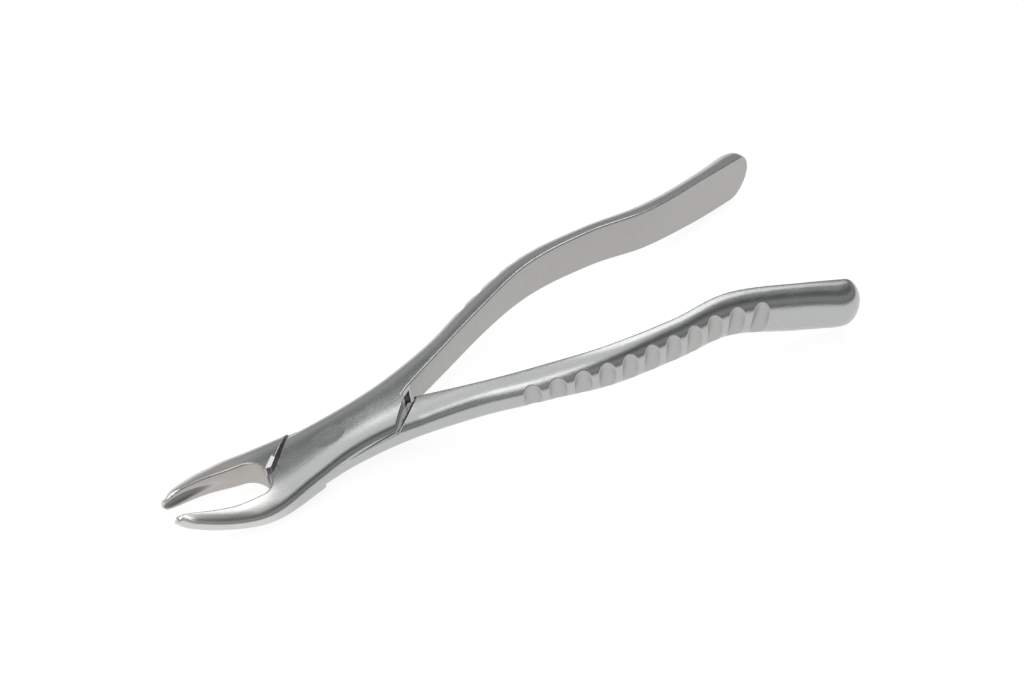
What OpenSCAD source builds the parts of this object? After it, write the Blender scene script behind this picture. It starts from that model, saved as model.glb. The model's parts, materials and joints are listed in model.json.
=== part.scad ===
// Upper universal extraction forceps, American pattern, with a lap joint.
// Two forged steel halves cross at the joint: each carries one beak and the
// opposite handle. A headed pin, put in from the plain side, holds them.
// Built round the pivot (x to the handles, y across, z along the pin), then
// pitched to lie as it does on a table, on its beaks and its handle ends.

/* [Opening] */
// Angle between the halves as drawn; 0 is closed
opening = 4.4; // [0:0.2:30]

/* [Beaks] */
// Pivot to the beak tips
beak_len = 45.3; // [44:0.1:46]
// Gap between the tips, closed
tip_gap = 1.4; // [0.6:0.2:2]
// Widest gap between the beaks, closed
mouth_w = 8.4; // [8:0.2:8.8]
// Radius of the hollow ground along each beak
hollow_r = 2.3; // [1.8:0.1:2.6]

/* [Handles] */
// Pivot to the ends of the handles
handle_len = 129; // [125:1:135]
// How much shorter the lower half's handle is
end_step = 2.4; // [0:0.1:3]
// Finger grooves on each handle
groove_count = 11; // [0:1:11]
// Distance between finger grooves, along the handle
groove_pitch = 5.85; // [5.8:0.05:6.1]
// Radius of one finger groove
groove_r = 2.3; // [2:0.1:3]
// Depth of one finger groove
groove_depth = 1.5; // [0.4:0.1:1.6]

/* [Joint] */
// Thickness of the upper plate
upper_t = 4.1; // [3.8:0.1:4.1]
// Thickness of the lower plate
lower_t = 4.4; // [4.1:0.1:4.4]
// Distance from the pivot to the shoulders
shoulder_d = 12.2; // [12:0.1:12.6]
// Slant of the shoulders across the joint
shoulder_a = 42; // [38:1:46]
// Gap left between plate and shoulder, closed
shoulder_gap = 0.3; // [0.2:0.05:0.5]
// Height of the lap above the middle of the joint
lap_z = 1.1; // [0:0.1:1.4]
// Gap between the two lapped plates
lap_gap = 0.06; // [0.04:0.01:0.1]

/* [Pin] */
// Shank diameter of the pivot pin
pin_d = 5; // [4:0.5:5.5]
// Head diameter of the pivot pin
pin_head_d = 6.6; // [6:0.1:7]
// Radial clearance of the pin in the lower half
pin_clear = 0.04; // [0.02:0.01:0.08]

/* [Resting] */
// Pitch of the joint when the forceps lies on a table
pitch = 9.2; // [9.2:0.1:9.2]

/* [Hidden] */
steel = "#b4b6b8";
pin_steel = "#a6a8aa";
bore_fn = 96;
eps = 0.02;
swing = opening / 2;
beak_x = -beak_len;
crotch_x = -20;
lift = 7.2919;
across = -0.4451;
slide = -41.8463;

// At the joint the section is as deep as both plates together
joint_depth = upper_t + lower_t;
joint_mid = (upper_t - lower_t) / 2;

// Outer side of one half seen from above, beak to handle end: x, y
OUTER = [
    [-45, 3], [-38, 6.5], [-32, 8.5], [-25, 9.5], [-12, 8], [0, 7], [12, 7.5],
    [30, 10.5], [46, 15.5], [62, 19], [80, 19], [95, 18], [112, 21.5], [129, 27]
];

// Middle of its depth, curving up to the beak tip and down along the handle: x, z
MIDDLE = [
    [-45, 8.5], [-36, 4.5], [-28, 1.5], [-20, joint_mid], [0, joint_mid], [30, -1.5],
    [50, -2], [65, -3.5], [80, -6], [95, -9], [112, -15], [129, -20.5]
];

// Its depth along the pin: x, depth
DEPTH = [
    [-45, 4], [-40, 5.5], [-30, 6.5], [-20, 8], [-10, joint_depth], [2, joint_depth], [14, 8],
    [28, 8.5], [46, 9], [62, 11], [95, 12], [112, 13.5], [129, 13]
];

// Flat inner face of the handles: x, y
INNER = [
    [19, 1], [28, 4], [46, 9.5], [62, 13.5], [80, 14], [95, 12.5], [112, 16], [129, 20]
];

// Station before x in a profile
function station(x, t, i = 0) =
    i >= len(t) - 2 || x < t[i + 1][0] ? i : station(x, t, i + 1);

// Slope of a profile at row i
function row_slope(t, i) =
    let (a = max(i - 1, 0), b = min(i + 1, len(t) - 1))
    (t[b][1] - t[a][1]) / (t[b][0] - t[a][0]);

// Smooth curve through a profile
function curve(x, t) =
    let (
        i = station(x, t),
        h = t[i + 1][0] - t[i][0],
        u = (x - t[i][0]) / h,
        m0 = row_slope(t, i) * h,
        m1 = row_slope(t, i + 1) * h,
        rise = t[i + 1][1] - t[i][1]
    )
    t[i][1] + u * (m0 + u * (3 * rise - 2 * m0 - m1 + u * (m0 + m1 - 2 * rise)));

function outer_y(x) = curve(x, OUTER);
function mid_z(x) = curve(x, MIDDLE);
function depth(x) = curve(x, DEPTH);
function inner_y(x) = x < INNER[0][0] ? -eps : curve(x, INNER);
function pitch_at(x) = atan((mid_z(x + 0.5) - mid_z(x - 0.5)));

// Roundness of the outer side: squarer at the joint than along the handles
SQUARENESS = [[-44, 2.2], [-34, 2.3], [-24, 2.5], [-15, 2.9], [8, 2.9], [35, 2.3], [60, 2.2]];
function squareness(x) = lookup(x, SQUARENESS);

// Shrink of the section over the last length before the handle end, and over
// half that length before the beak tip, which stays blunt
tip_ratio = 2;
handle_blunt = 0.06;
function end_scale(x, end, len, blunt) =
    let (left = min(end - x, tip_ratio * (x + beak_len)), a = min(max(1 - left / len, 0), 1))
    sqrt(max(1 - a * a, x < 0 ? blunt : handle_blunt));

// One cross-section: the flat inner face, then the rounded outer side
arc_steps = 16;
function section(x, end) =
    let (
        yi = inner_y(x),
        w = (outer_y(x) - yi) * end_scale(x, end, 7, 0.5),
        h = depth(x) / 2 * end_scale(x, end, 4, 0.35),
        n = 2 / squareness(x),
        a = pitch_at(x)
    )
    [for (k = [0:arc_steps])
        let (
            t = 180 * k / arc_steps,
            r = h * sign(cos(t)) * pow(abs(cos(t)), n)
        )
        [x - r * sin(a), yi + w * pow(abs(sin(t)), n), mid_z(x) + r * cos(a)]];

// One side of the forceps between two stations, beak, joint and handle in one
module side_body(xs, end = handle_len) {
    rings = [for (x = xs) section(x, end)];
    m = arc_steps + 1;
    last = (len(xs) - 1) * m;
    points = [for (ring = rings) each ring];
    walls = [for (i = [0:len(xs) - 2], k = [0:m - 1])
        let (a = i * m + k, b = i * m + (k + 1) % m)
        each [[a, b, b + m], [a, b + m, a + m]]];
    caps = [[for (k = [m - 1:-1:0]) k], [for (k = [0:m - 1]) last + k]];
    polyhedron(points, concat(walls, caps), convexity = 6);
}

// Stations, closer together where the shape turns
beak_xs = [
    for (d = [0, 0.15, 0.4, 0.8, 1.4, 2.4]) beak_x + d,
    for (x = [beak_x + 3.6:1.25:-30]) x,
    for (x = [-29:2:17]) x
];
function handle_xs(end) = [for (x = [-17:2:end - 9]) x, for (d = [7:-1:0]) end - d];

// Half the width of the mouth at x, closed: it opens behind the tips as a
// quarter of a sine wave
mouth_run = 16;
function mouth_half(x) =
    (mouth_w - tip_gap) / 2 * sin(90 * min((x - beak_x) / mouth_run, 1)) + tip_gap / 2;

// Plan of the mouth between the beaks, closed, with a round end at the crotch
mouth_steps = 24;
mouth_r = mouth_w / 2;
module mouth() {
    mouth_x = crotch_x - mouth_r;
    upper_edge = [for (i = [0:mouth_steps])
        let (x = mouth_x - i / mouth_steps * (mouth_x - beak_x + 2))
        [x, mouth_half(max(x, beak_x))]];
    lower_edge = [for (i = [mouth_steps:-1:0]) [upper_edge[i][0], -upper_edge[i][1]]];
    translate([0, 0, -20])
        linear_extrude(45) {
            polygon(concat(upper_edge, lower_edge));
            translate([mouth_x, 0])
                circle(r = mouth_r, $fn = 96);
        }
}

// Full blank of one half: beak on the -y side, joint, handle on the +y side
module blank(end) {
    side_body(handle_xs(end), end);
    mirror([0, 1, 0]) side_body(beak_xs);
}

// Finger grooves down the outside of the +y handle
module finger_grooves() {
    for (i = [0:1:groove_count - 1]) {
        x = 42.6 + i * groove_pitch;
        lean = atan(outer_y(x + 0.5) - outer_y(x - 0.5));
        translate([x, outer_y(x), mid_z(x)])
            rotate([0, -pitch_at(x), 0])
                rotate([0, 0, lean])
                    translate([0, groove_r - groove_depth, 0])
                        cylinder(h = 20, r = groove_r, center = true, $fn = 48);
    }
}

// Hollow ground along the inside of the -y beak, running out towards the joint
hollow_run = 36;
hollow_depth = 0.7;
module beak_hollow() {
    translate([beak_x + 6.5, -2.5, 5.6])
        rotate([0, 23, -13])
            translate([0, hollow_run - hollow_depth, 0])
                rotate([0, 0, -106])
                    rotate_extrude(angle = 36, $fn = 180)
                        translate([hollow_run - hollow_r, 0])
                            circle(r = hollow_r, $fn = 48);
}

// Where a shoulder line at distance d from the pivot has this y
function shoulder_x(y, d) = (y * cos(shoulder_a) - d) / sin(shoulder_a);
corner_y = 0.8;
reach = 60;
far_y = 16;

// Plan of the plate between both shoulders, with the beak and handle of the
// half that owns the plate: beak on -y, handle on +y
module plate_plan(d) {
    left = [
        [-reach, 0],
        [crotch_x, 0],
        [shoulder_x(-corner_y, d), -corner_y],
        [shoulder_x(far_y, d), far_y]
    ];
    right = [for (p = left) -p];
    polygon(concat([[-reach, -far_y]], left, [[reach, far_y]], right));
}

// Plan of what lies outside the plate: the other half's beak and handle
module outside_plan(d) {
    for (turn = [0, 180])
        rotate([0, 0, turn])
            polygon([
                [-reach, 0],
                [crotch_x, 0],
                [shoulder_x(-corner_y, d), -corner_y],
                [shoulder_x(far_y, d), far_y],
                [-reach, far_y]
            ]);
}

// Slope ground on the lower half's handle shoulder: it leaves a groove beside
// the upper plate that widens towards the crotch
slope_run = 2.4;
slope_drop = 8;
slope_turn = 3;
slope_start = 2;
slope_end = 13.4;
module shoulder_slope() {
    run = slope_run * slope_drop / lower_t;
    rotate([0, 0, -shoulder_a])
        translate([slope_start, shoulder_d + shoulder_gap / 2, 0])
            rotate([90, 0, 90 + slope_turn])
                linear_extrude(slope_end - slope_start)
                    polygon([[0, 0], [-3, 0], [-3, -slope_drop], [run, -slope_drop]]);
}

// Bevel filed on the beak shoulder beside the mouth, on the top of the lower half
bevel_x = 10.6;
bevel_z = 3.5;
bevel_tilt = 18;
module corner_bevel() {
    rotate([0, 0, 180 - shoulder_a])
        translate([bevel_x, shoulder_d + shoulder_gap / 2, bevel_z])
            rotate([bevel_tilt, 0, 0])
                cube([6, 4, 4]);
}

// Pit milled in both halves at the handle crotch, below the upper plate
pit_r = 0.7;
pit_floor = -3;
pit_in_lower = [[15.9, 0.5], [17.9, -1.3]];
pit_in_upper = [[16.2, -1.5], [18.9, 0.8]];
module crotch_pit(ends, top) {
    hull()
        for (p = ends)
            translate([p[0], p[1], pit_floor])
                cylinder(h = top - pit_floor, r = pit_r, $fn = 24);
}

// What is cut from the upper half: outside its plate above the lap, and the
// lower half's plate below it
module lap_cut() {
    linear_extrude(20) outside_plan(shoulder_d - shoulder_gap / 2);
    translate([0, 0, lap_gap / 2 - 20])
        linear_extrude(20)
            mirror([0, 1, 0]) plate_plan(shoulder_d + shoulder_gap / 2);
}

// Slabs that leave the joint flat above and below
flat_len = 22;
module joint_flats() {
    translate([-flat_len / 2, -20, upper_t])
        cube([flat_len, 40, 4]);
    translate([-flat_len / 2, -20, -lower_t - 4])
        cube([flat_len, 40, 4]);
}

// Room for the pin: shank, and countersunk head at the underside
pin_len = upper_t + lower_t - 1;
head_h = 1.2;
module pin_shape(room, cap) {
    translate([0, 0, -lower_t - cap])
        cylinder(h = pin_len + cap, r = pin_d / 2 + room, $fn = bore_fn);
    translate([0, 0, -lower_t])
        cylinder(h = head_h, r1 = pin_head_d / 2 + room, r2 = pin_d / 2 + room, $fn = bore_fn);
}

// Place on the table
module lay_down(turn) {
    translate([slide, across, lift])
        rotate([0, -pitch, 0])
            rotate([0, 0, turn])
                children();
}

// Half whose plate lies on top: near beak, far handle
module upper_half() {
    color(steel)
        lay_down(swing)
            difference() {
                blank(handle_len);
                mouth();
                finger_grooves();
                beak_hollow();
                joint_flats();
                translate([0, 0, lap_z])
                    lap_cut();
                crotch_pit(pit_in_upper, lap_z);
                pin_shape(0, 0);
            }
}

// Half whose plate lies below: far beak, near handle
module lower_half() {
    color(steel)
        lay_down(-swing)
            mirror([0, 1, 0])
                difference() {
                    blank(handle_len - end_step);
                    mouth();
                    finger_grooves();
                    beak_hollow();
                    joint_flats();
                    translate([0, 0, lap_z])
                        mirror([0, 0, 1]) {
                            lap_cut();
                            shoulder_slope();
                        }
                    corner_bevel();
                    crotch_pit(pit_in_lower, 9);
                    pin_shape(pin_clear, 1);
                }
}

// Pivot pin, pressed into the upper half from below
module pivot_pin() {
    color(pin_steel)
        lay_down(swing)
            pin_shape(0, 0);
}

upper_half();
lower_half();
pivot_pin();
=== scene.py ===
# Looks of an extraction forceps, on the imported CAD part. Shapes are in the joint's own frame, in
# millimetres (x to the handles, y across, z along the pin), and are laid down as the CAD lays them.
import json
import math

import bpy
import numpy as np
from mathutils import Matrix, Quaternion, Vector


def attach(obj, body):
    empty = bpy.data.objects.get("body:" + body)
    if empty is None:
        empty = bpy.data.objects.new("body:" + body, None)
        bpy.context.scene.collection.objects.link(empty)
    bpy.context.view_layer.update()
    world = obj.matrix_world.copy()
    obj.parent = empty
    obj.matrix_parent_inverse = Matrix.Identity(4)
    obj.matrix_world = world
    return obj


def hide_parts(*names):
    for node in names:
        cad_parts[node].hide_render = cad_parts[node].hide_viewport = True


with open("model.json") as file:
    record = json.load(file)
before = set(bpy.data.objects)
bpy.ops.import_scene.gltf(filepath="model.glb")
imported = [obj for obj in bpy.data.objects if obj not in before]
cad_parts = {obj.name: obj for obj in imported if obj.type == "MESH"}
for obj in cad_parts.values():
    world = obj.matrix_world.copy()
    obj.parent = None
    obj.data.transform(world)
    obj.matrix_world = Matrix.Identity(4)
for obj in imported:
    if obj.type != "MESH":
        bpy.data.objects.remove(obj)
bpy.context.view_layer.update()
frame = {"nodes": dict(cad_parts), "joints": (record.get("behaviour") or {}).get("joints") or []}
scene = bpy.context.scene
hinge = frame["joints"][0]

# ---------------------------------------------------------------- the shape, as in the CAD source
UPPER_T, LOWER_T = 4.1, 4.4
JOINT_DEPTH, JOINT_MID = UPPER_T + LOWER_T, (UPPER_T - LOWER_T) / 2

# Profiles of one half by station x, beak to handle end: outer side, middle of the depth, depth and
# the handle's flat inner face.
OUTER = np.array([
    [-45, 3], [-38, 6.5], [-32, 8.5], [-25, 9.5], [-12, 8], [0, 7], [12, 7.5],
    [30, 10.5], [46, 15.5], [62, 19], [80, 19], [95, 18], [112, 21.5], [129, 27]])
MIDDLE = np.array([
    [-45, 8.5], [-36, 4.5], [-28, 1.5], [-20, JOINT_MID], [0, JOINT_MID], [30, -1.5],
    [50, -2], [65, -3.5], [80, -6], [95, -9], [112, -15], [129, -20.5]])
DEPTH = np.array([
    [-45, 4], [-40, 5.5], [-30, 6.5], [-20, 8], [-10, JOINT_DEPTH], [2, JOINT_DEPTH], [14, 8],
    [28, 8.5], [46, 9], [62, 11], [95, 12], [112, 13.5], [129, 13]])
INNER = np.array([
    [19, 1], [28, 4], [46, 9.5], [62, 13.5], [80, 14], [95, 12.5], [112, 16], [129, 20]])
# Exponent of the rounded section: squarer at the joint.
SQUARE = np.array([[-44, 2.2], [-34, 2.3], [-24, 2.5], [-15, 2.9], [8, 2.9], [35, 2.3], [60, 2.2]])

OPENING, BEAK_LEN, HANDLE_LEN, END_STEP = 4.4, 45.3, 129.0, 2.4
# Shrink of the section near the ends: over this length, down to this share squared.
WIDTH_END, DEPTH_END, TIP_RATIO, HANDLE_BLUNT = (7, 0.5), (4, 0.35), 2, 0.06
CROSS_X = 17.0  # the beak's body and the handle's body overlap between -CROSS_X and CROSS_X
TIP_GAP, MOUTH_W, MOUTH_RUN, CROTCH_X = 1.4, 8.4, 16.0, -20.0
MOUTH_X = CROTCH_X - MOUTH_W / 2
HOLLOW_R, HOLLOW_RUN, HOLLOW_DEPTH, HOLLOW_LAST_X = 2.3, 36.0, 0.7, -24.0
HOLLOW_AT, HOLLOW_TILT, HOLLOW_TURN = (6.5 - BEAK_LEN, -2.5, 5.6), math.radians(23), math.radians(-13)
GROOVES, GROOVE_X, GROOVE_PITCH, GROOVE_R, GROOVE_DEPTH = 11, 42.6, 5.85, 2.3, 1.5
SHOULDER_D, SHOULDER_A, SHOULDER_GAP = 12.2, math.radians(42), 0.3
CORNER_Y, REACH, FAR_Y = 0.8, 60.0, 16.0
LAP_Z, LAP_GAP, FLAT_LEN = 1.1, 0.06, 22.0
SLOPE_RUN, SLOPE_TURN, SLOPE_START, SLOPE_END, SLOPE_BACK = 2.4, math.radians(3), 2.0, 13.4, 3.0
BEVEL_X, BEVEL_Z, BEVEL_TILT = 10.6, 3.5, math.radians(18)
PIT_LOWER, PIT_UPPER = ((15.9, 0.5), (17.9, -1.3)), ((16.2, -1.5), (18.9, 0.8))
PIT_R, PIT_FLOOR = 0.7, -3.0
PIN_D, PIN_HEAD_D, PIN_CLEAR, HEAD_H = 5.0, 6.6, 0.04, 1.2

# How far each kind of edge is rounded.
ROUND_FACE, ROUND_MOUTH, ROUND_HOLLOW, ROUND_GROOVE = 0.4, 0.45, 0.3, 0.22
ROUND_LAP, ROUND_PIT, ROUND_BEVEL = 0.16, 0.1, 0.06
# A field value that stands for nothing cut here.
NO_CUT = -9.0
# Painted tone of the sloped groove: painted shade along it and a painted highlight at its lower end;
# the painted shade also reaches the crotch pit.
SLOPE_SHADE, SLOPE_HIGHLIGHT, HIGHLIGHT_END, SLOPE_TOP, PAINTED_TONE_REACH = 0.8, -0.6, 4.8, -0.15, 0.12


def curve(x, t):
    """Smooth curve through a profile."""
    xs, ys = t[:, 0], t[:, 1]
    i = np.clip(np.searchsorted(xs, x, side="right") - 1, 0, len(xs) - 2)
    slope = np.empty(len(xs))
    slope[1:-1] = (ys[2:] - ys[:-2]) / (xs[2:] - xs[:-2])
    slope[0] = (ys[1] - ys[0]) / (xs[1] - xs[0])
    slope[-1] = (ys[-1] - ys[-2]) / (xs[-1] - xs[-2])
    h = xs[i + 1] - xs[i]
    u = (x - xs[i]) / h
    m0, m1, rise = slope[i] * h, slope[i + 1] * h, ys[i + 1] - ys[i]
    return ys[i] + u * (m0 + u * (3 * rise - 2 * m0 - m1 + u * (m0 + m1 - 2 * rise)))


def rise_at(x, t):
    """Slope of a profile at x."""
    return curve(x + 0.5, t) - curve(x - 0.5, t)


def lean_z(x):
    """Lean of the section at x, up or down."""
    return np.arctan(rise_at(x, MIDDLE))


def smax(a, b, k):
    """Maximum of two distances with its corner rounded over k."""
    h = np.clip(0.5 + 0.5 * (a - b) / k, 0, 1)
    return b + (a - b) * h + k * h * (1 - h)


def poly_dist(x, y, poly):
    """Signed distance to a closed outline, below 0 inside."""
    p = np.asarray(poly, float)
    best = np.full(x.shape, 1e9)
    inside = np.zeros(x.shape, bool)
    for (x0, y0), (x1, y1) in zip(p, np.roll(p, -1, 0)):
        dx, dy = x1 - x0, y1 - y0
        t = np.clip(((x - x0) * dx + (y - y0) * dy) / (dx * dx + dy * dy + 1e-12), 0, 1)
        best = np.minimum(best, (x - x0 - t * dx) ** 2 + (y - y0 - t * dy) ** 2)
        if dy:
            hit = ((y0 > y) != (y1 > y)) & (x < dx * (y - y0) / dy + x0)
            inside ^= hit
    d = np.sqrt(best)
    return np.where(inside, -d, d)


def end_scale(x, end, length, blunt):
    """Share of the section that is left near the beak tip and the handle end."""
    left = np.minimum(end - x, TIP_RATIO * (x + BEAK_LEN))
    a = np.clip(1 - left / length, 0, 1)
    return np.sqrt(np.maximum(1 - a * a, np.where(x < 0, blunt, HANDLE_BLUNT)))


def shoulder_x(y, d):
    """Where a shoulder line at distance d from the pivot has this y."""
    return (y * math.cos(SHOULDER_A) - d) / math.sin(SHOULDER_A)


def plate_plan(d):
    """Outline of the plate between both shoulders, with its own beak and handle."""
    left = [(-REACH, 0), (CROTCH_X, 0), (shoulder_x(-CORNER_Y, d), -CORNER_Y),
            (shoulder_x(FAR_Y, d), FAR_Y)]
    right = [(-x, -y) for x, y in left]
    return [(-REACH, -FAR_Y)] + left + [(REACH, FAR_Y)] + right


def outside_plan(d):
    """Outline of what lies outside the plate on the beak side."""
    return [(-REACH, 0), (CROTCH_X, 0), (shoulder_x(-CORNER_Y, d), -CORNER_Y),
            (shoulder_x(FAR_Y, d), FAR_Y), (-REACH, FAR_Y)]


def mouth_plan():
    """Outline of the mouth between the beaks, without its round end."""
    x = np.linspace(MOUTH_X, -BEAK_LEN - 2, 49)
    share = np.sin(math.pi / 2 * np.clip((x + BEAK_LEN) / MOUTH_RUN, 0, 1))
    half = (MOUTH_W - TIP_GAP) / 2 * share + TIP_GAP / 2
    return [(a, b) for a, b in zip(x, half)] + [(a, -b) for a, b in zip(x[::-1], half[::-1])]


MOUTH_PLAN = mouth_plan()


def along(px, pz):
    """Station x and height r in the cross-section, for points of the blank."""
    x = px.copy()
    for _ in range(4):
        xc = np.clip(x, -BEAK_LEN, HANDLE_LEN)
        a = lean_z(xc)
        mid = curve(xc, MIDDLE)
        off = (px - xc) * np.cos(a) + (pz - mid) * np.sin(a)
        x = xc + off * np.cos(a)
    return x, -(px - xc) * np.sin(a) + (pz - mid) * np.cos(a)


def blank(px, py, pz, end):
    """Distance to the uncut half, with its station, height share and distance past the inner face."""
    x, r = along(px, pz)
    xc = np.clip(x, -BEAK_LEN, end)
    first = INNER[0]
    ramp = np.clip((xc - CROSS_X) * first[1] / (first[0] - CROSS_X), 0, None)
    inner = np.where(xc < first[0], ramp, curve(xc, INNER))
    base = np.where(py > 0, inner, 0)
    w = (curve(xc, OUTER) - base) * end_scale(xc, end, *WIDTH_END)
    h = curve(xc, DEPTH) / 2 * end_scale(xc, end, *DEPTH_END)
    q = np.interp(xc, SQUARE[:, 0], SQUARE[:, 1])
    u = np.abs(r) / h
    v = np.maximum(np.abs(py) - base, 0) / w
    g = np.maximum((u ** q + v ** q) ** (1 / q), 1e-3)
    gu = (u / g) ** (q - 1) / h
    gv = (v / g) ** (q - 1) / w
    skin = (g - 1) / np.sqrt(gu * gu + gv * gv + 1e-9)
    tilt = np.cos(np.arctan(rise_at(xc, INNER)))
    flat = (inner - py) * np.where(xc < first[0], 1, tilt)
    handle_side = np.maximum(flat, -CROSS_X - px)
    beak_side = np.maximum(py, px - CROSS_X)
    plan = np.minimum(np.minimum(handle_side, beak_side), np.abs(px) - CROSS_X)
    f = smax(skin, plan, ROUND_FACE)
    return np.maximum(f, np.maximum(x - end, -BEAK_LEN - x)), x, r / h, flat


def mouth_cut(px, py):
    """Depth inside the mouth."""
    return np.maximum(-poly_dist(px, py, MOUTH_PLAN), MOUTH_W / 2 - np.hypot(px - MOUTH_X, py))


def hollow_cut(px, py, pz):
    """Depth inside the hollow ground along the beak, part of a ring."""
    hx, hy, hz = px - HOLLOW_AT[0], py - HOLLOW_AT[1], pz - HOLLOW_AT[2]
    tilt_c, tilt_s = math.cos(HOLLOW_TILT), math.sin(HOLLOW_TILT)
    turn_c, turn_s = math.cos(HOLLOW_TURN), math.sin(HOLLOW_TURN)
    lx, lz = hx * tilt_c - hz * tilt_s, hx * tilt_s + hz * tilt_c
    lx, ly = lx * turn_c + hy * turn_s, -lx * turn_s + hy * turn_c
    ly = ly - (HOLLOW_RUN - HOLLOW_DEPTH)
    ring = np.hypot(np.hypot(lx, ly) - (HOLLOW_RUN - HOLLOW_R), lz)
    return np.where((ly < 0) & (px < HOLLOW_LAST_X), HOLLOW_R - ring, NO_CUT)


def groove_cut(p):
    """Depth inside the finger grooves down the outside of the handle."""
    groove = np.full(len(p), NO_CUT)
    for i in range(GROOVES):
        x0 = np.array(GROOVE_X + i * GROOVE_PITCH)
        a = float(lean_z(x0))
        b = float(np.arctan(rise_at(x0, OUTER)))
        c = np.array([x0, float(curve(x0, OUTER)), float(curve(x0, MIDDLE))])
        c = c + (GROOVE_R - GROOVE_DEPTH) * np.array(
            [-math.sin(b) * math.cos(a), math.cos(b), -math.sin(b) * math.sin(a)])
        axis = np.array([-math.sin(a), 0, math.cos(a)])
        near = (np.abs(p[:, 0] - x0) < 9) & (p[:, 1] > 5)
        v = p[near] - c
        v = v - (v @ axis)[:, None] * axis
        groove[near] = np.maximum(groove[near], GROOVE_R - np.sqrt((v ** 2).sum(1)))
    return groove


def slope_wedge(px, py, z):
    """Distance to the wedge ground off the handle shoulder, and the place across that shoulder."""
    ca, sa = math.cos(SHOULDER_A), math.sin(SHOULDER_A)
    rx, ry = px * ca - py * sa, px * sa + py * ca
    ry = ry - (SHOULDER_D + SHOULDER_GAP / 2)
    slope = SLOPE_RUN / LOWER_T
    turn = math.tan(SLOPE_TURN)
    wedge = (ry + z * slope - (rx - SLOPE_START) * turn) / math.hypot(1, slope, turn)
    sides = np.abs(rx - (SLOPE_START + SLOPE_END) / 2) - (SLOPE_END - SLOPE_START) / 2
    return np.maximum(np.maximum(wedge, z), np.maximum(-SLOPE_BACK - ry, sides)), rx


def lap_cut(px, py, z):
    """Distance to what the other half takes: outside the plate above the lap, its plate below."""
    d_in, d_out = SHOULDER_D - SHOULDER_GAP / 2, SHOULDER_D + SHOULDER_GAP / 2
    over = np.minimum(poly_dist(px, py, outside_plan(d_in)), poly_dist(-px, -py, outside_plan(d_in)))
    over = np.maximum(over, -z)
    under = np.maximum(poly_dist(px, -py, plate_plan(d_out)), z - LAP_GAP / 2)
    return np.minimum(over, under)


def pit_cut(px, py, pz, lap):
    """Distance to the pit at the handle crotch."""
    (ax, ay), (ex, ey) = PIT_LOWER if lap < 0 else PIT_UPPER
    length2 = (ex - ax) ** 2 + (ey - ay) ** 2
    t = np.clip(((px - ax) * (ex - ax) + (py - ay) * (ey - ay)) / length2, 0, 1)
    pit = np.hypot(px - ax - (ex - ax) * t, py - ay - (ey - ay) * t) - PIT_R
    pit = np.maximum(pit, PIT_FLOOR - pz)
    return np.maximum(pit, pz - LAP_Z) if lap > 0 else pit


def bevel_cut(px, py, pz):
    """Distance to the corner filed off the beak shoulder beside the mouth."""
    ca, sa = math.cos(SHOULDER_A), math.sin(SHOULDER_A)
    bx, by = py * sa - px * ca, -px * sa - py * ca - SHOULDER_D - SHOULDER_GAP / 2
    ct, st = math.cos(BEVEL_TILT), math.sin(BEVEL_TILT)
    bevel = np.maximum(by * st - (pz - BEVEL_Z) * ct, -by * ct - (pz - BEVEL_Z) * st)
    return np.maximum(bevel, BEVEL_X - bx)


def bore_cut(px, py, pz):
    """Distance to the pin's hole, with its countersink at the underside."""
    rad = np.hypot(px, py)
    bore = rad - PIN_D / 2 - PIN_CLEAR
    head = PIN_HEAD_D / 2 + PIN_CLEAR - (pz + LOWER_T) * (PIN_HEAD_D - PIN_D) / 2 / HEAD_H
    bore = np.minimum(bore, rad - np.where(pz < -LOWER_T + HEAD_H, head, 0))
    return np.maximum(bore, pz - (UPPER_T - 1))


def half_field(p, end, lap, want_zones=False):
    """Distance to one half in its own frame, with its beak on -y and its handle on +y.

    lap is 1 for the half whose plate is on top and -1 for the other.
    """
    px, py, pz = p[:, 0], p[:, 1], p[:, 2]
    f, x, height, flat = blank(px, py, pz, end)
    mouth, hollow, groove = mouth_cut(px, py), hollow_cut(px, py, pz), groove_cut(p)
    f = smax(f, mouth, ROUND_MOUTH)
    f = smax(f, hollow, ROUND_HOLLOW)
    f = smax(f, groove, ROUND_GROOVE)
    f = np.maximum(f, np.minimum(np.maximum(pz - UPPER_T, -pz - LOWER_T), FLAT_LEN / 2 - np.abs(px)))
    z = (pz - LAP_Z) * lap
    cut, pit = lap_cut(px, py, z), pit_cut(px, py, pz, lap)
    # slope holds painted tone: painted shade along the sloped groove and a painted highlight at its
    # lower end.
    slope = np.zeros(px.shape)
    if lap < 0:
        wedge, rx = slope_wedge(px, py, z)
        cut = np.minimum(cut, wedge)
        slope = np.clip(1 - np.abs(wedge) / PAINTED_TONE_REACH, 0, 1) * (z < SLOPE_TOP)
        slope = slope * np.where(rx < HIGHLIGHT_END, SLOPE_HIGHLIGHT, SLOPE_SHADE)
    f = smax(f, -cut, ROUND_LAP)
    f = smax(f, -pit, ROUND_PIT)
    if lap < 0:
        f = smax(f, -bevel_cut(px, py, pz), ROUND_BEVEL)
        f = np.maximum(f, -bore_cut(px, py, pz))
    if not want_zones:
        return f
    # The near beak's hollow gets no painted shade at its very tip.
    hollow = np.where((px < 2 - BEAK_LEN) & (lap > 0), NO_CUT, hollow)
    # Painted shade on the crotch pit, carried in the slope tone.
    slope = np.where(np.abs(pit) < PAINTED_TONE_REACH, 1, slope)
    return f, x, height, flat, mouth, groove, hollow, cut, slope


def gradient(func, p, e=0.02):
    """Slope of a field by central differences."""
    g = np.empty_like(p)
    for k in range(3):
        d = np.zeros(3)
        d[k] = e
        g[:, k] = (func(p + d) - func(p - d)) / (2 * e)
    return g


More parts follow.
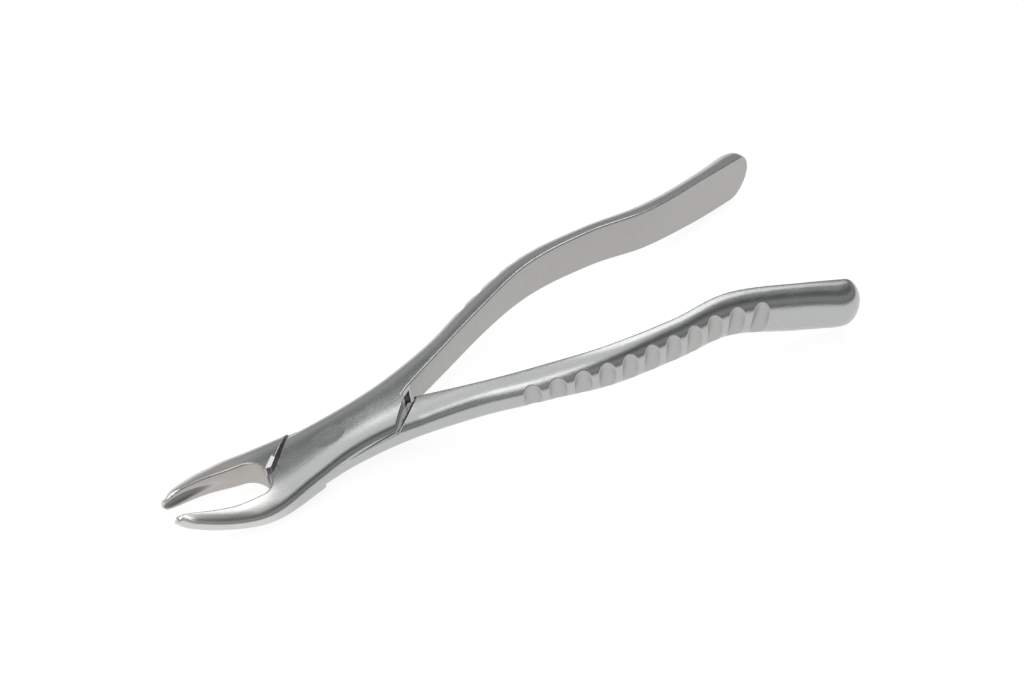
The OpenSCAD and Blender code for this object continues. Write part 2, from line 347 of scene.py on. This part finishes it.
def surface(func, low, high, step):
    """Points and quads on the zero level of a distance field, one point a grid cell."""
    block, half_diagonal, slack, batch = 8, 0.87, 1.2, 1500
    n = np.ceil((np.array(high) - low) / (step * block)).astype(int)
    centres = [low[k] + (np.arange(n[k]) + 0.5) * step * block for k in range(3)]
    grid = np.stack(np.meshgrid(*centres, indexing="ij"), -1).reshape(-1, 3)
    rough = np.concatenate([func(part) for part in np.array_split(grid, 8)])
    values = np.repeat(np.repeat(np.repeat(rough.reshape(n), block, 0), block, 1), block, 2)
    values = values.astype(np.float32)
    live = np.abs(rough) < step * block * half_diagonal + slack
    corner = grid[live] - block / 2 * step
    index = np.stack(np.unravel_index(np.where(live)[0], n), -1) * block
    local = np.stack(np.meshgrid(*[np.arange(block)] * 3, indexing="ij"), -1).reshape(-1, 3)
    for start in range(0, len(corner), batch):
        c, ix = corner[start:start + batch], index[start:start + batch]
        pts = (c[:, None] + local[None] * step).reshape(-1, 3)
        ids = (ix[:, None] + local[None]).reshape(-1, 3)
        values[ids[:, 0], ids[:, 1], ids[:, 2]] = func(pts)
    inside = values < 0
    shape = np.array(values.shape)
    any_in = np.zeros(shape - 1, bool)
    all_in = np.ones(shape - 1, bool)
    corners = [(a, b, c) for a in (0, 1) for b in (0, 1) for c in (0, 1)]
    for a, b, c in corners:
        part = inside[a:shape[0] - 1 + a, b:shape[1] - 1 + b, c:shape[2] - 1 + c]
        any_in |= part
        all_in &= part
    cells = np.stack(np.where(any_in & ~all_in), -1)
    number = np.full(shape - 1, -1, np.int32)
    number[cells[:, 0], cells[:, 1], cells[:, 2]] = np.arange(len(cells))
    total, count = np.zeros((len(cells), 3)), np.zeros(len(cells))
    for a in corners:
        for k in range(3):
            if a[k]:
                continue
            b = list(a)
            b[k] = 1
            va = values[tuple((cells + a).T)].astype(float)
            vb = values[tuple((cells + b).T)].astype(float)
            hit = (va < 0) != (vb < 0)
            t = np.where(hit, va / np.where(hit, va - vb, 1), 0)
            point = cells + np.array(a) + t[:, None] * (np.array(b) - np.array(a))
            total[hit] += point[hit]
            count[hit] += 1
    points = np.array(low) + total / count[:, None] * step
    quads = []
    for k in range(3):
        i, j = (k + 1) % 3, (k + 2) % 3
        first = [slice(None)] * 3
        second = [slice(None)] * 3
        first[k], second[k] = slice(0, -1), slice(1, None)
        s0, s1 = inside[tuple(first)], inside[tuple(second)]
        edge = np.stack(np.where(s0 != s1), -1)
        edge = edge[(edge[:, i] > 0) & (edge[:, j] > 0)]
        edge = edge[(edge[:, i] < shape[i] - 1) & (edge[:, j] < shape[j] - 1)]
        ring = []
        for di, dj in ((-1, -1), (0, -1), (0, 0), (-1, 0)):
            c = edge.copy()
            c[:, i] += di
            c[:, j] += dj
            ring.append(number[tuple(c.T)])
        quad = np.stack(ring, -1)
        flip = ~s0[tuple(edge.T)]
        quad[flip] = quad[flip][:, ::-1]
        quads.append(quad)
    return points, np.concatenate(quads)


def settle(func, points):
    """Moves points onto the surface, at most 0.15 mm a step, and gives its normals."""
    least, longest = 0.05, 0.15
    for _ in range(3):
        g = gradient(func, points)
        n2 = np.maximum((g ** 2).sum(1), least)
        move = -func(points)[:, None] * g / n2[:, None]
        size = np.sqrt((move ** 2).sum(1))[:, None]
        points = points + move * np.minimum(1, longest / np.maximum(size, 1e-9))
    g = gradient(func, points, 0.05)
    return points, g / np.maximum(np.sqrt((g ** 2).sum(1))[:, None], 1e-9)


PIVOT = np.array(hinge["pos_m"])
PITCH = math.atan2(hinge["axis"][0], -hinge["axis"][2])
GRID_LOW, GRID_HIGH = np.array([-46.5, -10.5, -28.5]), np.array([130.5, 28.5, 12.5])
STEP, QUICK_STEP = 0.25, 0.5


def lay_down(v, turn, place=True):
    """From the joint's frame to the row frame, in metres for a place."""
    a = math.radians(turn)
    x = v[:, 0] * math.cos(a) - v[:, 1] * math.sin(a)
    y = v[:, 0] * math.sin(a) + v[:, 1] * math.cos(a)
    out = np.stack([x * math.cos(PITCH) - v[:, 2] * math.sin(PITCH), y,
                    x * math.sin(PITCH) + v[:, 2] * math.cos(PITCH)], -1)
    return out * 0.001 + PIVOT if place else out


def closeness(depth, reach):
    """1 on a cut's surface and deeper, 0 at reach outside it."""
    return np.clip(1 + depth / reach, 0, 1)


def make_half(name, node, body, lap, end, turn):
    """One half of the forceps as a mesh, with its material zones, in place of its CAD node."""
    func = lambda q: half_field(q, end, lap)
    points, quads = surface(func, GRID_LOW, GRID_HIGH, STEP)
    points, normals = settle(func, points)
    _, x, up, flat, mouth, groove, hollow, cut, slope = half_field(points, end, lap, True)
    a = lean_z(np.clip(x, -BEAK_LEN, end))
    dy = np.where(points[:, 1] > 0, rise_at(x, OUTER), -rise_at(x, OUTER))
    grain = np.stack([np.cos(a), dy, np.sin(a)], -1)
    grain /= np.sqrt((grain ** 2).sum(1))[:, None]
    # The hollow and slope zones also carry painted shade, and slope carries a painted highlight at its
    # lower end.
    zones = {"inner": closeness(flat, 0.15) * (x > 20), "mouth": closeness(mouth, 0.12),
             "groove": closeness(groove, 0.1), "hollow": closeness(hollow, 0.12),
             "cut": closeness(-cut, 0.1), "slope": slope}
    coords = np.stack([x, points[:, 1], up * 4], -1)
    if lap < 0:
        for v in (points, normals, grain, coords):
            v[:, 1] *= -1
        quads = quads[:, ::-1]
    points = lay_down(points, turn)
    normals, grain = lay_down(normals, turn, False), lay_down(grain, turn, False)
    mesh = bpy.data.meshes.new(name)
    mesh.vertices.add(len(points))
    mesh.vertices.foreach_set("co", points.astype(np.float32).ravel())
    mesh.loops.add(quads.size)
    mesh.loops.foreach_set("vertex_index", quads.astype(np.int32).ravel())
    mesh.polygons.add(len(quads))
    mesh.polygons.foreach_set("loop_start", np.arange(0, quads.size, 4, dtype=np.int32))
    mesh.update(calc_edges=True)
    mesh.validate()
    mesh.shade_smooth()
    mesh.normals_split_custom_set_from_vertices(normals.astype(np.float32))
    for key, value in zones.items():
        mesh.attributes.new(key, "FLOAT", "POINT").data.foreach_set("value", value.astype(np.float32))
    for key, value in (("grain", grain), ("place", coords)):
        mesh.attributes.new(key, "FLOAT_VECTOR", "POINT").data.foreach_set(
            "vector", value.astype(np.float32).ravel())
    piece = bpy.data.objects.new(name, mesh)
    scene.collection.objects.link(piece)
    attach(piece, body)
    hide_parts(node)
    return piece


# ---------------------------------------------------------------- materials
def node_tree(name):
    """An empty material with one shader."""
    mat = bpy.data.materials.new(name)
    mat.use_nodes = True
    tree = mat.node_tree
    tree.nodes.clear()
    out = tree.nodes.new("ShaderNodeOutputMaterial")
    shader = tree.nodes.new("ShaderNodeBsdfPrincipled")
    tree.links.new(shader.outputs[0], out.inputs[0])
    return mat, tree, shader


class Nodes:
    """Short names for building a material's nodes."""

    def __init__(self, tree):
        self.tree = tree

    def put(self, target, value):
        if isinstance(value, bpy.types.NodeSocket):
            self.tree.links.new(value, target)
        else:
            target.default_value = value

    def math(self, op, a, b=0.0, clamp=False):
        n = self.tree.nodes.new("ShaderNodeMath")
        n.operation, n.use_clamp = op, clamp
        self.put(n.inputs[0], a)
        self.put(n.inputs[1], b)
        return n.outputs[0]

    def axis(self, vector, i):
        n = self.tree.nodes.new("ShaderNodeSeparateXYZ")
        self.tree.links.new(vector, n.inputs[0])
        return n.outputs[i]

    def attr(self, name, vector=False):
        n = self.tree.nodes.new("ShaderNodeAttribute")
        n.attribute_name = name
        return n.outputs["Vector" if vector else "Fac"]

    def noise(self, place, scale, stretch=(1, 1, 1), detail=4.0, rough=0.55):
        m = self.tree.nodes.new("ShaderNodeMapping")
        self.tree.links.new(place, m.inputs[0])
        m.inputs["Scale"].default_value = stretch
        n = self.tree.nodes.new("ShaderNodeTexNoise")
        n.inputs["Scale"].default_value = scale
        n.inputs["Detail"].default_value = detail
        n.inputs["Roughness"].default_value = rough
        self.tree.links.new(m.outputs[0], n.inputs["Vector"])
        return n.outputs["Fac"]

    def mix(self, fac, a, b):
        n = self.tree.nodes.new("ShaderNodeMix")
        self.put(n.inputs[0], fac)
        self.put(n.inputs[2], a)
        self.put(n.inputs[3], b)
        return n.outputs[0]

    def mix_rgb(self, fac, a, b):
        n = self.tree.nodes.new("ShaderNodeMix")
        n.data_type = "RGBA"
        self.put(n.inputs[0], fac)
        self.put(n.inputs[6], a)
        self.put(n.inputs[7], b)
        return n.outputs[2]

    def bump(self, height, strength, distance):
        n = self.tree.nodes.new("ShaderNodeBump")
        n.inputs["Strength"].default_value = strength
        n.inputs["Distance"].default_value = distance
        self.tree.links.new(height, n.inputs["Height"])
        return n.outputs[0]


def steel(name):
    """Satin steel: grain along the outside and across the inner faces, matte where it was ground;
    painted shade in the hollow, sloped groove and pit, painted highlight at the groove's end.
    """
    mat, tree, shader = node_tree(name)
    n = Nodes(tree)
    place = n.attr("place", True)
    inner, mouth, groove, hollow, cut, slope = [
        n.attr(k) for k in ("inner", "mouth", "groove", "hollow", "cut", "slope")]
    long_grain = n.noise(place, 1.0, (0.12, 4, 4), 5)
    fine_grain = n.noise(place, 1.0, (0.5, 14, 14), 3)
    cross_grain = n.noise(place, 1.0, (9, 9, 0.3), 4)
    pits = n.noise(place, 2.6, (1, 1, 1), 6, 0.7)
    blotch = n.noise(place, 0.2, (1, 1, 1), 3)
    beaks = n.math("MULTIPLY", n.math("ADD", n.axis(place, 0), 18), -0.12, True)
    matte = n.math("MAXIMUM", n.math("MAXIMUM", groove, hollow), cut, True)
    rough = n.mix(blotch, 0.2, 0.3)
    rough = n.math("ADD", rough, n.math("MULTIPLY", n.math("SUBTRACT", long_grain, 0.5), 0.12))
    rough = n.mix(inner, rough, 0.42)
    rough = n.mix(mouth, rough, 0.4)
    rough = n.mix(matte, rough, 0.46)
    n.put(shader.inputs["Roughness"], rough)
    tone = n.mix_rgb(long_grain, (0.425, 0.43, 0.43, 1), (0.485, 0.49, 0.488, 1))
    tone = n.mix_rgb(beaks, tone, (0.6, 0.594, 0.578, 1))
    tone = n.mix_rgb(
        inner, tone, n.mix_rgb(cross_grain, (0.36, 0.356, 0.342, 1), (0.46, 0.452, 0.436, 1)))
    tone = n.mix_rgb(mouth, tone, n.mix_rgb(pits, (0.42, 0.40, 0.375, 1), (0.5, 0.475, 0.45, 1)))
    tone = n.mix_rgb(groove, tone, n.mix_rgb(pits, (0.4, 0.395, 0.385, 1), (0.52, 0.515, 0.505, 1)))
    # Painted shade in the hollow ground along the beak.
    tone = n.mix_rgb(hollow, tone, (0.2, 0.195, 0.185, 1))
    # Painted shade along the sloped groove and in the crotch pit, and a painted highlight at the
    # groove's lower end.
    tone = n.mix_rgb(n.math("MAXIMUM", slope, 0.0), tone, (0.05, 0.05, 0.048, 1))
    tone = n.mix_rgb(n.math("MULTIPLY", slope, -1.0, True), tone, (0.95, 0.95, 0.94, 1))
    n.put(shader.inputs["Base Color"], tone)
    shader.inputs["Metallic"].default_value = 1.0
    shader.inputs["Anisotropic"].default_value = 0.3
    n.put(shader.inputs["Tangent"], n.attr("grain", True))
    lines = n.mix(inner, n.math("ADD", long_grain, fine_grain), cross_grain)
    lines = n.mix(n.math("MAXIMUM", matte, mouth), lines, pits)
    n.put(shader.inputs["Normal"], n.bump(lines, 0.28, 0.00003))
    return mat


def plain_steel(name):
    """Finely turned steel of the pin."""
    mat, tree, shader = node_tree(name)
    n = Nodes(tree)
    coord = tree.nodes.new("ShaderNodeTexCoord").outputs["Object"]
    turned = n.noise(coord, 900.0, (1, 1, 1), 3)
    n.put(shader.inputs["Roughness"], n.mix(turned, 0.25, 0.4))
    n.put(shader.inputs["Base Color"], n.mix_rgb(turned, (0.5, 0.5, 0.5, 1), (0.6, 0.6, 0.59, 1)))
    shader.inputs["Metallic"].default_value = 1.0
    n.put(shader.inputs["Normal"], n.bump(turned, 0.2, 0.00002))
    return mat


steel_look = steel("satin_steel")
halves = [
    make_half("half_upper", "upper_half", "upper", 1, HANDLE_LEN, OPENING / 2),
    make_half("half_lower", "lower_half", "lower", -1, HANDLE_LEN - END_STEP, -OPENING / 2),
]
for half in halves:
    half.data.materials.append(steel_look)
for slot in frame["nodes"]["pivot_pin"].material_slots:
    slot.material = plain_steel("pin_steel")

# ---------------------------------------------------------------- floor, camera and lights
FLOOR_HALF, FLOOR_DROP = 2, 0.0003
floor_mesh = bpy.data.meshes.new("floor")
floor_mesh.from_pydata(
    [(x * FLOOR_HALF, y * FLOOR_HALF, 0) for x, y in ((-1, -1), (1, -1), (1, 1), (-1, 1))],
    [], [(0, 1, 2, 3)])
floor = bpy.data.objects.new("floor", floor_mesh)
floor.location.z = -FLOOR_DROP
scene.collection.objects.link(floor)
floor_mat, _, floor_shader = node_tree("floor_white")
floor_shader.inputs["Base Color"].default_value = (0.3, 0.3, 0.3, 1)
floor_shader.inputs["Roughness"].default_value = 0.9
floor_shader.inputs["Emission Color"].default_value = (1, 1, 1, 1)
floor_shader.inputs["Emission Strength"].default_value = 0.83
floor_shader.inputs["Specular IOR Level"].default_value = 0.1
floor_mesh.materials.append(floor_mat)

AZ, EL, ROLL = math.radians(-31.3), math.radians(46.6), math.radians(-0.1)
DIST, LENS = 1.2195, 186.069
# The pivot stands this far left of and below the middle of the frame, in metres.
PIVOT_LEFT, PIVOT_BELOW = 0.039, 0.0226
back = Vector((math.sin(AZ) * math.cos(EL), -math.cos(AZ) * math.cos(EL), math.sin(EL)))
right = Vector((math.cos(AZ), math.sin(AZ), 0))
right.rotate(Quaternion(back, ROLL))
up = back.cross(right)
cam = bpy.data.cameras.new("camera")
cam.sensor_width = 36
cam.lens = LENS
cam.clip_start, cam.clip_end = 0.05, 20
view = bpy.data.objects.new("camera", cam)
pivot = Vector(PIVOT)
place = pivot + back * DIST
aim = pivot + right * PIVOT_LEFT + up * PIVOT_BELOW
back = (place - aim).normalized()
right = up.cross(back).normalized()
turned = Matrix((right, back.cross(right), back)).transposed().to_4x4()
view.matrix_world = Matrix.Translation(place) @ turned
scene.collection.objects.link(view)
scene.camera = view


def panel(name, toward, distance, size, radiance):
    """A soft light panel that faces the forceps from one direction."""
    lamp = bpy.data.lights.new(name, "AREA")
    lamp.shape = "RECTANGLE"
    lamp.size, lamp.size_y = size
    lamp.energy = radiance * math.pi * size[0] * size[1]
    lamp_object = bpy.data.objects.new(name, lamp)
    lamp_object.location = Vector(toward).normalized() * distance
    lamp_object.rotation_euler = (-lamp_object.location).to_track_quat("-Z", "Y").to_euler()
    scene.collection.objects.link(lamp_object)


panel("softbox_back", (0.43, 0.34, 0.84), 1.0, (0.58, 0.42), 1.85)
panel("softbox_front", (-0.4, -0.4, 0.82), 1.0, (0.55, 0.58), 1.8)

world = bpy.data.worlds.new("room")
scene.world = world
world.use_nodes = True
wtree = world.node_tree
wn = Nodes(wtree)
direction = wtree.nodes.new("ShaderNodeTexCoord").outputs["Generated"]
parts = wtree.nodes.new("ShaderNodeSeparateXYZ")
wtree.links.new(direction, parts.inputs[0])


def sky(stops):
    """Brightness of the room by height."""
    ramp = wtree.nodes.new("ShaderNodeValToRGB")
    wtree.links.new(parts.outputs[2], ramp.inputs[0])
    elements = ramp.color_ramp.elements
    for i, (at, value) in enumerate(stops):
        stop = elements[i] if i < 2 else elements.new(at)
        stop.position = at
        stop.color = (value * 0.985, value * 0.995, value, 1)
    return ramp.outputs[0]


room_beaks = sky((
    (0.0, 0.5), (1.0, 1.05), (0.5, 0.62), (0.66, 0.4), (0.74, 0.25), (0.84, 0.4), (0.93, 1.15)))
room_handles = sky((
    (0.0, 0.16), (1.0, 1.05), (0.16, 0.2), (0.34, 0.4), (0.52, 0.4), (0.68, 0.12), (0.84, 0.12),
    (0.94, 1.05)))
# The room is brighter on the beaks' side than on the handles' side, with one soft change between.
across = wn.math(
    "SUBTRACT", wn.math("MULTIPLY", parts.outputs[1], 0.5), wn.math("MULTIPLY", parts.outputs[0], 0.87))
facing = wn.math("ADD", wn.math("MULTIPLY", across, -0.9), 0.5, True)
wtree.links.new(wn.mix_rgb(facing, room_beaks, room_handles), wtree.nodes["Background"].inputs[0])
scene.view_settings.view_transform = "Standard"
